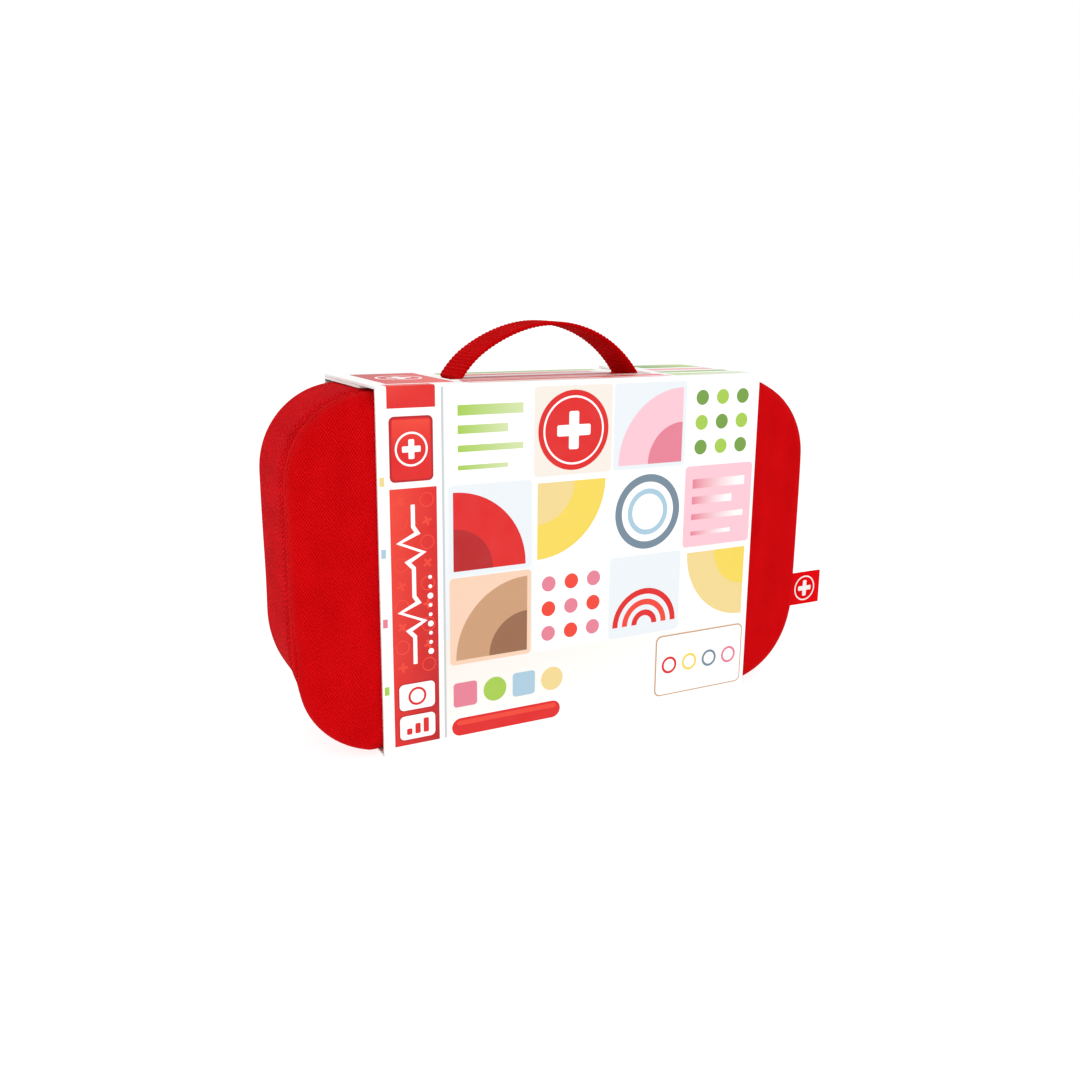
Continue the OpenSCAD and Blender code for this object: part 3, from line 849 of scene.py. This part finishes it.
class Print:
    """Flat inks laid on a surface, each a thin closed slab, gathered into one mesh."""

    def __init__(self, place):
        self.place = place
        self.points, self.faces, self.inks, self.weave = [], [], [], []

    def lay(self, flat, tops, inks, level):
        """A slab of ink on flat points, with a colour for each of them."""
        n, start = len(flat), len(self.points)
        for h in (0.03 * level, -0.05):
            self.points += [self.place(x, z, h) for x, z in flat]
        both, walls = slab(n, tops)
        for f in both + walls:
            self.faces.append(tuple(start + i for i in f))
            self.inks += [inks[i % n] for i in f]
            self.weave += [flat[i % n] for i in f]

    def shape(self, flat, colour, level=1):
        """One polygon of ink."""
        self.lay(flat, [tuple(range(len(flat)))], [colour] * len(flat), level)

    def ring(self, cx, cz, r, w, colour, level=1, n=48):
        flat = disc(cx, cz, r, n) + disc(cx, cz, r - w, n)
        self.lay(flat, ring_faces(2, n), [colour] * len(flat), level)

    def field(self, x0, s0, x1, s1, corners, level=1, rows=None):
        """A rectangle of ink whose four corner colours run into each other: bottom left, bottom
        right, top left, top right."""
        rows = rows or [s0 + (s1 - s0) * k / 6 for k in range(7)]
        inks = []
        for s in rows:
            v = (s - s0) / (s1 - s0)
            for u in (k / 6 for k in range(7)):
                shares = ((1 - u) * (1 - v), u * (1 - v), (1 - u) * v, u * v)
                inks.append(tuple(sum(w * c[q] for w, c in zip(shares, corners)) for q in range(4)))
        flat = [(x0 + (x1 - x0) * k / 6, s) for s in rows for k in range(7)]
        self.lay(flat, cells(7, len(rows)), inks, level)

    def build(self, name, material=INK):
        obj = mesh(name, self.points, self.faces, material, self.weave, smooth=False)
        layer = obj.data.attributes.new("ink", "FLOAT_COLOR", "CORNER")
        layer.data.foreach_set("color", np.asarray(self.inks, np.float32).ravel())
        return obj


# ---------------------------------------------------------------- card sleeve
CARD_T = 1.15


def card_sheet(name, path, columns, cut):
    """A closed sheet of card over path rows of (y, z, inward y, inward z) and x columns. cut says
    which cells are punched out. Its cut edges show the board inside."""
    rows, m = len(path), len(columns)
    run = np.cumsum([0.0] + [math.dist(p[:2], q[:2]) for p, q in zip(path, path[1:])])

    def kept(r, c):
        y, z = ((path[r][k] + path[r + 1][k]) / 2 for k in (0, 1))
        return not cut((columns[c] + columns[c + 1]) / 2, y, z)

    points = [(x, y + ny * depth, z + nz * depth)
              for depth in (0.0, CARD_T) for y, z, ny, nz in path for x in columns]
    sides, edges = slab(rows * m, cells(m, rows, kept))
    weave = [(columns[k % m], run[k // m % rows]) for f in sides + edges for k in f]
    obj = mesh(name, points, sides + edges, CARD, weave, extra=(CARD_EDGE,))
    obj.data.polygons.foreach_set("material_index", [0] * len(sides) + [1] * len(edges))
    bm = bmesh.new()
    bm.from_mesh(obj.data)
    bmesh.ops.delete(bm, geom=[v for v in bm.verts if not v.link_faces], context="VERTS")
    bmesh.ops.recalc_face_normals(bm, faces=bm.faces)
    for e in bm.edges:
        if len({f.material_index for f in e.link_faces}) == 2:
            e.smooth = False
    bm.to_mesh(obj.data)
    bm.free()
    return obj


def bent_path(corners):
    """A path through (y, z) corners with each bend rounded, as (y, z, inward y, inward z)."""
    points, spacing = np.array(corners, float), 9.0
    ways = np.diff(points, axis=0)
    ways /= np.linalg.norm(ways, axis=1, keepdims=True)
    inward = np.stack([ways[:, 1], -ways[:, 0]], 1)
    out = []
    for k, way in enumerate(ways):
        last = k == len(ways) - 1
        a = points[k] + way * BEND_R if k else points[k]
        b = points[k + 1] if last else points[k + 1] - way * BEND_R
        n = max(int(np.linalg.norm(b - a) / spacing), 1)
        for p in (a + (b - a) * i / n for i in range(n + 1)):
            if not out or math.dist(out[-1][:2], p) > 1e-6:
                out.append((*p, *inward[k]))
        if last:
            return out
        for t in np.linspace(0, math.pi / 2, 7)[1:]:
            mix = inward[k] * math.cos(t) + inward[k + 1] * math.sin(t)
            out.append((*(b + inward[k] * BEND_R - mix * BEND_R), *mix))


def with_row(path, y, z, low, high):
    """The path with a row at y on its top run, at height z, for those between low and high."""
    path = [p for p in path if not (p[1] > z - 0.1 and low < p[0] < high)]
    at = next(k for k, p in enumerate(path) if p[1] > z - 0.1 and p[0] > y)
    return path[:at] + [(y, z, 0.0, -1.0)] + path[at:]


half = SLEEVE_W / 2
SLOT_IN, SLOT_OUT, NOTCH_W = 45.7, 50.3, 55.0
columns = sorted(set([-half, half, *np.linspace(-half, half, 24)[1:-1]]
                     + [HANDLE_X + s * x for s in (-1, 1) for x in (NOTCH_W, SLOT_OUT, SLOT_IN)]))


def notch(x, y, z):
    return z > 160 and y > NOTCH_Y and abs(x - HANDLE_X) < NOTCH_W


def slots(x, y, z):
    return z > 160 and y < SLOT_Y and SLOT_IN < abs(x - HANDLE_X) < SLOT_OUT


top_rows = with_row(bent_path([(-37, 1.6), (-37, 169), (36.9, 169)]), NOTCH_Y, SLEEVE_TOP, -17, -14)
front_card = card_sheet("sleeve_front_card", top_rows, columns, notch)
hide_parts("sleeve_front", "sleeve_flap")
bend(front_card)

wrap_rows = bent_path([(NOTCH_Y, UNDER_Z), (36.95, UNDER_Z), (36.95, 0.0), (-35.4, 0.0)])
wrap_rows = with_row(wrap_rows, SLOT_Y, UNDER_Z, 9.5, 13.0)
wrap_card = card_sheet("sleeve_wrap_card", wrap_rows, columns, slots)
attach(wrap_card, "case")
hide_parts("sleeve_wrap")

turns = np.linspace(0, math.pi / 2, 9)
crease_rows = ([(-35.4, 0.0, 0.0, 1.0)]
               + [(-36 - math.sin(t), 1 - math.cos(t), math.sin(t), math.cos(t)) for t in turns]
               + [(-37, 1.6, 1.0, 0.0)])
crease = card_sheet("sleeve_foot_crease", crease_rows, columns, lambda x, y, z: False)
bend(crease)

# ---------------------------------------------------------------- print on the sleeve
WHITE, PAPER = linear(252, 252, 252), linear(244, 244, 242)
RED, RED2, DEEP = linear(216, 24, 22), linear(232, 62, 44), linear(178, 14, 20)
LIME, GREEN, MOSS = linear(160, 198, 74), linear(112, 154, 62), linear(206, 220, 168)
PALE, SAND, ROSE = linear(226, 232, 236), linear(236, 228, 218), linear(222, 124, 144)
BLUSH, PEACH, STRAW = linear(240, 192, 204), linear(238, 202, 176), linear(232, 208, 140)
YELLOW, SKY, SLATE = linear(236, 208, 84), linear(164, 196, 214), linear(112, 132, 148)
GREY, BROWN, TAN = linear(196, 200, 204), linear(146, 100, 70), linear(196, 150, 112)


def wedge(cx, cz, r, a0, a1, r_in=0.0):
    """A slice of a disc, or of a ring, between two angles."""
    n = 20
    inner = arc(cx, cz, r_in, a1, a0, n) if r_in > 0 else [] if abs(a1 - a0) == 180 else [(cx, cz)]
    return arc(cx, cz, r, a0, a1, n) + inner


def tile(pr, x, z, w, h, kind, ground, first, second, turn):
    """One tile of the pattern, x and z its lower left corner."""
    pr.shape(plate(x + 0.5, z + 0.5, x + w - 0.5, z + h - 0.5, 2.0), ground, 2)
    mx, mz, r = x + w / 2, z + h / 2, min(w, h) * 0.44
    if kind == "quarter":
        cx = x + (0.06 if turn in (0, 3) else 0.94) * w
        cz = z + (0.06 if turn in (0, 1) else 0.94) * h
        for size, colour, level in ((1.95, first, 3), (1.05, second, 4)):
            pr.shape(wedge(cx, cz, r * size, 90 * turn, 90 * turn + 90), colour, level)
    elif kind == "bows":
        cz = z + (0.86 if turn else 0.14) * h
        for k, c in enumerate((first, second, first)):
            size = 1 - 0.3 * k
            pr.shape(wedge(mx, cz, r * size, 180 * turn, 180 * turn + 180, r * (size - 0.16)), c, 3)
    elif kind == "stripes":
        for k in range(4):
            z0, x1 = z + h * (0.15 + 0.19 * k), x + (0.88 if k % 2 else 0.7) * w
            pr.field(x + 0.12 * w, z0, x1, z0 + h * (0.05 + 0.02 * k), (first, second) * 2, 3)
    elif kind == "dots":
        for i in range(3):
            for j in range(3):
                dot = disc(mx + (i - 1) * r * 0.66, mz + (j - 1) * r * 0.66, r * 0.2, 24)
                pr.shape(dot, first if (i + j) % 2 else second, 3)
    elif kind == "ring":
        pr.ring(mx, mz, r, r * 0.2, first, 3, 60)
        pr.ring(mx, mz, r * 0.62, r * 0.14, second, 3, 44)
    else:
        pr.shape(disc(mx, mz, r, 60), first, 3)
        pr.ring(mx, mz, r * 0.86, r * 0.05, second, 4, 60)
        pr.shape(plus(mx, mz, r * 0.95, r * 0.28), second, 4)


def red_band(pr, rows_top, top):
    """The red band with its wordless badges and a pulse line."""
    pr.field(-97.6, 159.5, -75.4, top, (RED, RED, RED2, RED), 1, rows_top)
    pr.field(-97.2, 4.0, -75.2, 124.4, (RED, DEEP, RED2, RED))
    for k in range(9):
        z, x = 42 + 9.6 * k, -92.6 if k % 2 else -80.0
        pr.ring(x, z, 3.4, 0.55, RED2, 2)
        pr.shape(plus(-172.6 - x, z, 4.6, 1.3, 20 * (k % 3)), RED2, 2)
    # the pulse line: one beat and the same again higher up
    beat = [(-86.6, 56), (-89.4, 59), (-81.8, 63), (-93.4, 68), (-84.6, 72), (-86.6, 75)]
    pulse = [(-86.6, 43)] + beat + [(x, z + 32) for x, z in beat] + [(-86.6, 117)]
    pr.shape(stroke(pulse, 1.9), WHITE, 3)
    for k in range(9):
        pr.shape(disc(-78.9, 48 + 4.4 * k, 0.9 if k % 3 else 1.4, 18), WHITE, 3)
    pr.shape(plate(-96.9, 127.3, -76.6, 156.0, 2.4), DEEP, 1)
    pr.shape(plate(-96.0, 128.2, -77.5, 155.1, 2.0), RED, 2)
    pr.field(-95.4, 141.5, -78.1, 154.5, (RED, RED, RED2, RED2), 3)
    pr.ring(-86.75, 141.6, 7.6, 0.9, WHITE, 4)
    pr.shape(plus(-86.75, 141.6, 8.6, 2.7), WHITE, 4)
    for z0, z1 in ((20.6, 34.2), (6.2, 18.8)):
        pr.shape(plate(-95.2, z0, -76.9, z1, 2.6), DEEP, 2)
        pr.shape(plate(-94.7, z0 + 0.5, -77.4, z1 - 0.5, 2.2), WHITE, 3)
    pr.ring(-86, 27.4, 4.4, 1.1, RED, 4)
    for k in range(3):
        pr.shape(plate(-91.4 + 4.1 * k, 9.0, -88.8 + 4.1 * k, 12.0 + 2.0 * k, 0.6), RED, 4)


art = Print(crease_point)
# more rows where the band goes over the sleeve's bend
band_rows = [159.5, 164, 168.0] + [SLEEVE_TOP - 1 + 0.25 * k for k in range(1, 9)] + [176.0]
red_band(art, band_rows, 176.0)
# evenly spaced marks down the left margin
for k, c in enumerate((LIME, ROSE, SKY, STRAW)):
    art.field(-101.6, 30 + 32 * k, -99.4, 34 + 32 * k, (c, c, c, c))
# a plain geometric pattern of tiles on a pale ground
art.field(-71.6, 52.0, 102.3, 168.0, (PALE, PAPER, PAPER, WHITE))
art.field(-71.6, 1.8, 102.3, 52.0, (PAPER, WHITE, SAND, PAPER))
art.shape(plate(-72.6, 4.0, -71.6, 168.0), GREY, 2)
PATTERN = [[("quarter", PEACH, TAN, BROWN, 1), ("dots", WHITE, RED2, ROSE, 0),
            ("bows", PALE, RED, RED2, 0), ("quarter", WHITE, STRAW, YELLOW, 2)],
           [("quarter", PALE, RED, DEEP, 0), ("quarter", WHITE, YELLOW, STRAW, 3),
            ("ring", WHITE, SLATE, SKY, 0), ("stripes", BLUSH, ROSE, WHITE, 0)],
           [("stripes", WHITE, LIME, MOSS, 0), ("disc", SAND, RED, WHITE, 0),
            ("quarter", PALE, BLUSH, ROSE, 1), ("dots", WHITE, LIME, GREEN, 0)]]
TILE = 42.8
for r, line in enumerate(PATTERN):
    for c, looks in enumerate(line):
        tile(art, -70.0 + TILE * c, 38.6 + TILE * r, TILE, TILE, *looks)
# the blank pill along the bottom, a row of small shapes over it, and a plate with four rings
art.shape(plate(-70.0, 2.6, -10.2, 13.4, 5.4), WHITE, 7)
art.shape(plate(-69.0, 3.6, -11.2, 12.4, 4.39), RED, 8)
art.shape(plate(-66.6, 8.8, -13.6, 11.2, 1.19), RED2, 9)
for k, c in enumerate((ROSE, LIME, SKY, STRAW)):
    art.shape(plate(-68 + 15.4 * k, 18, -56 + 15.4 * k, 30, 6.0 if k % 2 else 1.6), c, 3)
art.shape(plate(44.9, 3.4, 100.0, 36.2, 3.2), TAN, 9)
art.shape(plate(45.5, 4.0, 99.4, 35.6, 2.8), WHITE, 10)
for k, c in enumerate((RED, YELLOW, SLATE, ROSE)):
    art.ring(53.4 + 12.7 * k, 19.8, 4.6, 1.3, c, 11)
front_art = art.build("sleeve_front_print")
bend(front_art)


def top_point(x, s, h):
    """A point on the flap's top: s is the way behind the front crease."""
    return (x, -SLEEVE_Y + s, SLEEVE_TOP + h)


top = Print(top_point)
top.ring(-78, 38, 11, 1.2, WHITE, 2)
top.shape(plus(-78, 38, 12, 3.6), WHITE, 2)
for box, inks in (((-94, 10, -62, 62), (RED, RED2, DEEP, RED)),
                  ((-58, 2, 50, 6), (BLUSH, ROSE, MOSS, BLUSH)),
                  ((-58, 8, 50, 14), (RED, RED2, DEEP, RED)),
                  ((-56, 15.4, 48, 19.4), (RED2, BLUSH, RED, BROWN)),
                  ((54, 3, 100, 14), (MOSS, PALE, LIME, MOSS)),
                  ((56, 20, 98, 27), (LIME, GREEN, GREEN, LIME)),
                  ((60, 33, 98, 42), (BLUSH, ROSE, RED2, BLUSH)),
                  ((64, 48, 100, 66), (GREEN, LIME, GREEN, MOSS))):
    top.field(*box, inks)
top_art = top.build("sleeve_top_print")
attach(top_art, "sleeve_flap")

# the lower flap inside the notch carries the print on
notch_art = Print(lambda x, y, h: (x, y, UNDER_Z + h))
notch_art.field(-52, -11.5, 44, 8.5, (RED, RED2, DEEP, RED))
notch_art.field(-40, 15.0, 36, 22.0, (RED2, BLUSH, RED, ROSE))
notch_art.field(-48, 26.0, 44, 33.0, (LIME, MOSS, GREEN, LIME))
notch_art = notch_art.build("sleeve_notch_print")
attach(notch_art, "case")

# a plain plus in a ring on both sides of the label
for name, sign in (("label_sign_front", -1), ("label_sign_back", 1)):
    sign_print = Print(lambda x, z, h, sign=sign: (x, LABEL_Y + sign * (0.53 + h), z))
    sign_print.shape(plus(150.4, 47.0, 9.0, 2.6), WHITE, 2)
    sign_print.ring(150.4, 47.0, 7.2, 0.8, WHITE, 2)
    made = sign_print.build(name, LABEL_WHITE)
    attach(made, "lid")

# ---------------------------------------------------------------- inside
BACK_Y, BAND_Z = 30.2, 69.5


def band_path():
    """The elastic band's middle line, seen from above: flat runs and a bow at each loop."""
    half_t, out = 0.4, []
    y_flat = BACK_Y - half_t

    def line(a, b, n):
        for k in range(n):
            out.append(tuple(np.array(a) + (np.array(b) - np.array(a)) * k / n))

    end = 16.8
    x = LOOPS[0][0] - LOOPS[0][1] - end
    for cx, r in LOOPS:
        rr = r + half_t
        line((x, y_flat), (cx - rr - 1.2, y_flat), 6)
        line((cx - rr - 1.2, y_flat), (cx - rr, y_flat - 1.6), 3)
        line((cx - rr, y_flat - 1.6), (cx - rr, BACK_Y - r), 4)
        out += arc(cx, BACK_Y - r, rr, 180, 360, 24)
        line((cx + rr, BACK_Y - r + 0.01), (cx + rr, y_flat - 1.6), 4)
        line((cx + rr, y_flat - 1.6), (cx + rr + 1.2, y_flat), 3)
        x = cx + rr + 1.2
    x_end = LOOPS[-1][0] + LOOPS[-1][1] + end
    line((x, y_flat), (x_end, y_flat), 6)
    pts = np.array(out + [(x_end, y_flat)])
    t = np.gradient(pts, axis=0)
    t /= np.linalg.norm(t, axis=1, keepdims=True)
    return [((*p, BAND_Z), (d[1], -d[0], 0)) for p, d in zip(pts, t)]


def elastic_section(s):
    """Lengthwise ribs, as a knitted elastic has."""
    ribs = np.linspace(-9.9, 9.9, 37)
    swell = [0.26 + 0.12 * abs(math.sin(math.pi * (x + 9.9) / 2.2)) for x in ribs]
    top = list(zip(ribs, swell))
    return top + [(x, -t) for x, t in top[::-1]]


band = ribbon("tool_band_elastic", band_path(), (0, 0, 1), elastic_section, ELASTIC)
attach(band, "case")
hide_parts("tool_band")

for k, (cx, r) in enumerate(LOOPS):
    for side in (-1, 1):
        x = cx + side * (r + 3.4)
        row = stitches("loop_tack_%d%s" % (k + 1, "a" if side < 0 else "b"),
                       [(x, BACK_Y - 0.75, BAND_Z - 8), (x, BACK_Y - 0.75, BAND_Z + 8)],
                       [(0, -1, 0)] * 2, pitch=1.5, length=1.3, radius=0.24, lift=-0.06)
        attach(row, "case")

# the lid's pocket: a slack panel gathered by its hem
POCKET_W, POCKET_Z0, POCKET_Z1, POCKET_Y = 179.0, 26.4, 103.6, -30.1
cols = np.linspace(-POCKET_W / 2, POCKET_W / 2, 91)
rows = np.concatenate([np.linspace(POCKET_Z0, 93.5, 26), np.linspace(94.6, POCKET_Z1, 9)])


def pocket_point(x, z):
    """Outer side of the pocket: it stands off the lining most in its upper middle."""
    u, v = x / (POCKET_W / 2), (z - POCKET_Z0) / (POCKET_Z1 - POCKET_Z0)
    slack = max(0.0, 1 - u * u) * math.sin(math.pi * min(v * 0.75, 1.0))
    gather = 0.34 * math.sin(x * 1.05 + 0.8 * math.sin(x * 0.13)) * v ** 1.5 * (1 - u ** 8)
    return POCKET_Y + 0.45 + 1.25 * slack + gather * (0.4 + 0.6 * slack)


flat = [(x, z) for z in rows for x in cols]
points = [(x, pocket_point(x, z) + (0.52 if z > 94 else 0.22), z) for x, z in flat]
points += [(x, pocket_point(x, z) - 0.22, z) for x, z in flat]
faces = sum(slab(len(flat), cells(len(cols), len(rows))), [])
weave = [flat[k % len(flat)] for f in faces for k in f]
pocket = outward(mesh("lid_pocket_cloth", points, faces, NETTING, weave))
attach(pocket, "lid")
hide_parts("lid_pocket")
half, y, top_z, foot_z = POCKET_W / 2 - 1.5, POCKET_Y + 0.72, POCKET_Z1 - 1, POCKET_Z0 + 1.5
edge = [(-half, y, top_z), (-half, y, foot_z), (half, y, foot_z), (half, y, top_z)]
row = stitches("pocket_stitches", edge, [(0, 1, 0)] * 4, pitch=3.0, length=2.3, radius=0.24,
               lift=-0.05)
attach(row, "lid")

# ---------------------------------------------------------------- CAD pieces that stay
for name in ("zip_slider", "zip_pull", "zip_stops", "back_board", "lid_board"):
    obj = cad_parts[name]
    obj.data.materials.clear()
    obj.data.materials.append(BOARD if name.endswith("board") else METAL)
    if name.startswith("zip"):
        bevel = obj.modifiers.new("edges", "BEVEL")
        bevel.width, bevel.segments, bevel.limit_method = 0.18 * MM, 2, "ANGLE"

# ---------------------------------------------------------------- camera, floor and light
yaw, pitch, roll = (math.radians(a) for a in (-27.83, 13.50, 0.59))
forward = Vector((-math.sin(yaw) * math.cos(pitch), math.cos(yaw) * math.cos(pitch),
                  -math.sin(pitch)))
right = Vector((math.cos(yaw), math.sin(yaw), 0))
upward = right.cross(forward)
side_axis = math.cos(roll) * right + math.sin(roll) * upward
up_axis = -math.sin(roll) * right + math.cos(roll) * upward
camera = bpy.data.cameras.new("camera")
camera.lens, camera.sensor_width = 35.187, 36.0
camera.clip_start, camera.clip_end = 0.01, 50
eye = bpy.data.objects.new("camera", camera)
bpy.context.scene.collection.objects.link(eye)
turn = Matrix((side_axis, up_axis, -forward)).transposed().to_4x4()
eye.matrix_world = Matrix.Translation((-0.2491, -0.4650, 0.2107)) @ turn
bpy.context.scene.camera = eye

floor_mat = Shader("studio_floor", Roughness=0.9, Specular_IOR_Level=0.0,
                   Emission_Color=(1.0, 1.0, 1.0, 1.0), Emission_Strength=0.82)
grain = floor_mat.noise(floor_mat.place(), 3.0)
floor_mat.colour(floor_mat.mix(grain, linear(150, 150, 150), linear(156, 156, 156)))
size, drop = 6000.0, -0.15
floor = mesh("studio_floor", [(-size, -size, drop), (size, -size, drop), (size, size, drop),
                              (-size, size, drop)], [(0, 1, 2, 3)], floor_mat.mat, smooth=False)

world = bpy.data.worlds.new("studio")
world.use_nodes = True
world.node_tree.nodes["Background"].inputs["Color"].default_value = (1.0, 1.0, 1.0, 1.0)
world.node_tree.nodes["Background"].inputs["Strength"].default_value = 1.0
bpy.context.scene.world = world


def lamp(name, place, aim, size_m, power):
    data = bpy.data.lights.new(name, "AREA")
    data.shape, data.size, data.energy = "DISK", size_m, power
    obj = bpy.data.objects.new(name, data)
    bpy.context.scene.collection.objects.link(obj)
    obj.location = place
    obj.rotation_mode = "QUATERNION"
    obj.rotation_quaternion = (Vector(aim) - Vector(place)).to_track_quat("-Z", "Y")


lamp("key", (-0.9, -0.9, 1.3), (0, 0, 0.08), 0.9, 3.0)
lamp("fill", (0.9, -1.1, 0.7), (0, 0, 0.08), 1.2, 1.0)
bpy.context.scene.view_settings.view_transform = "Standard"
bpy.context.scene.view_settings.look = "None"
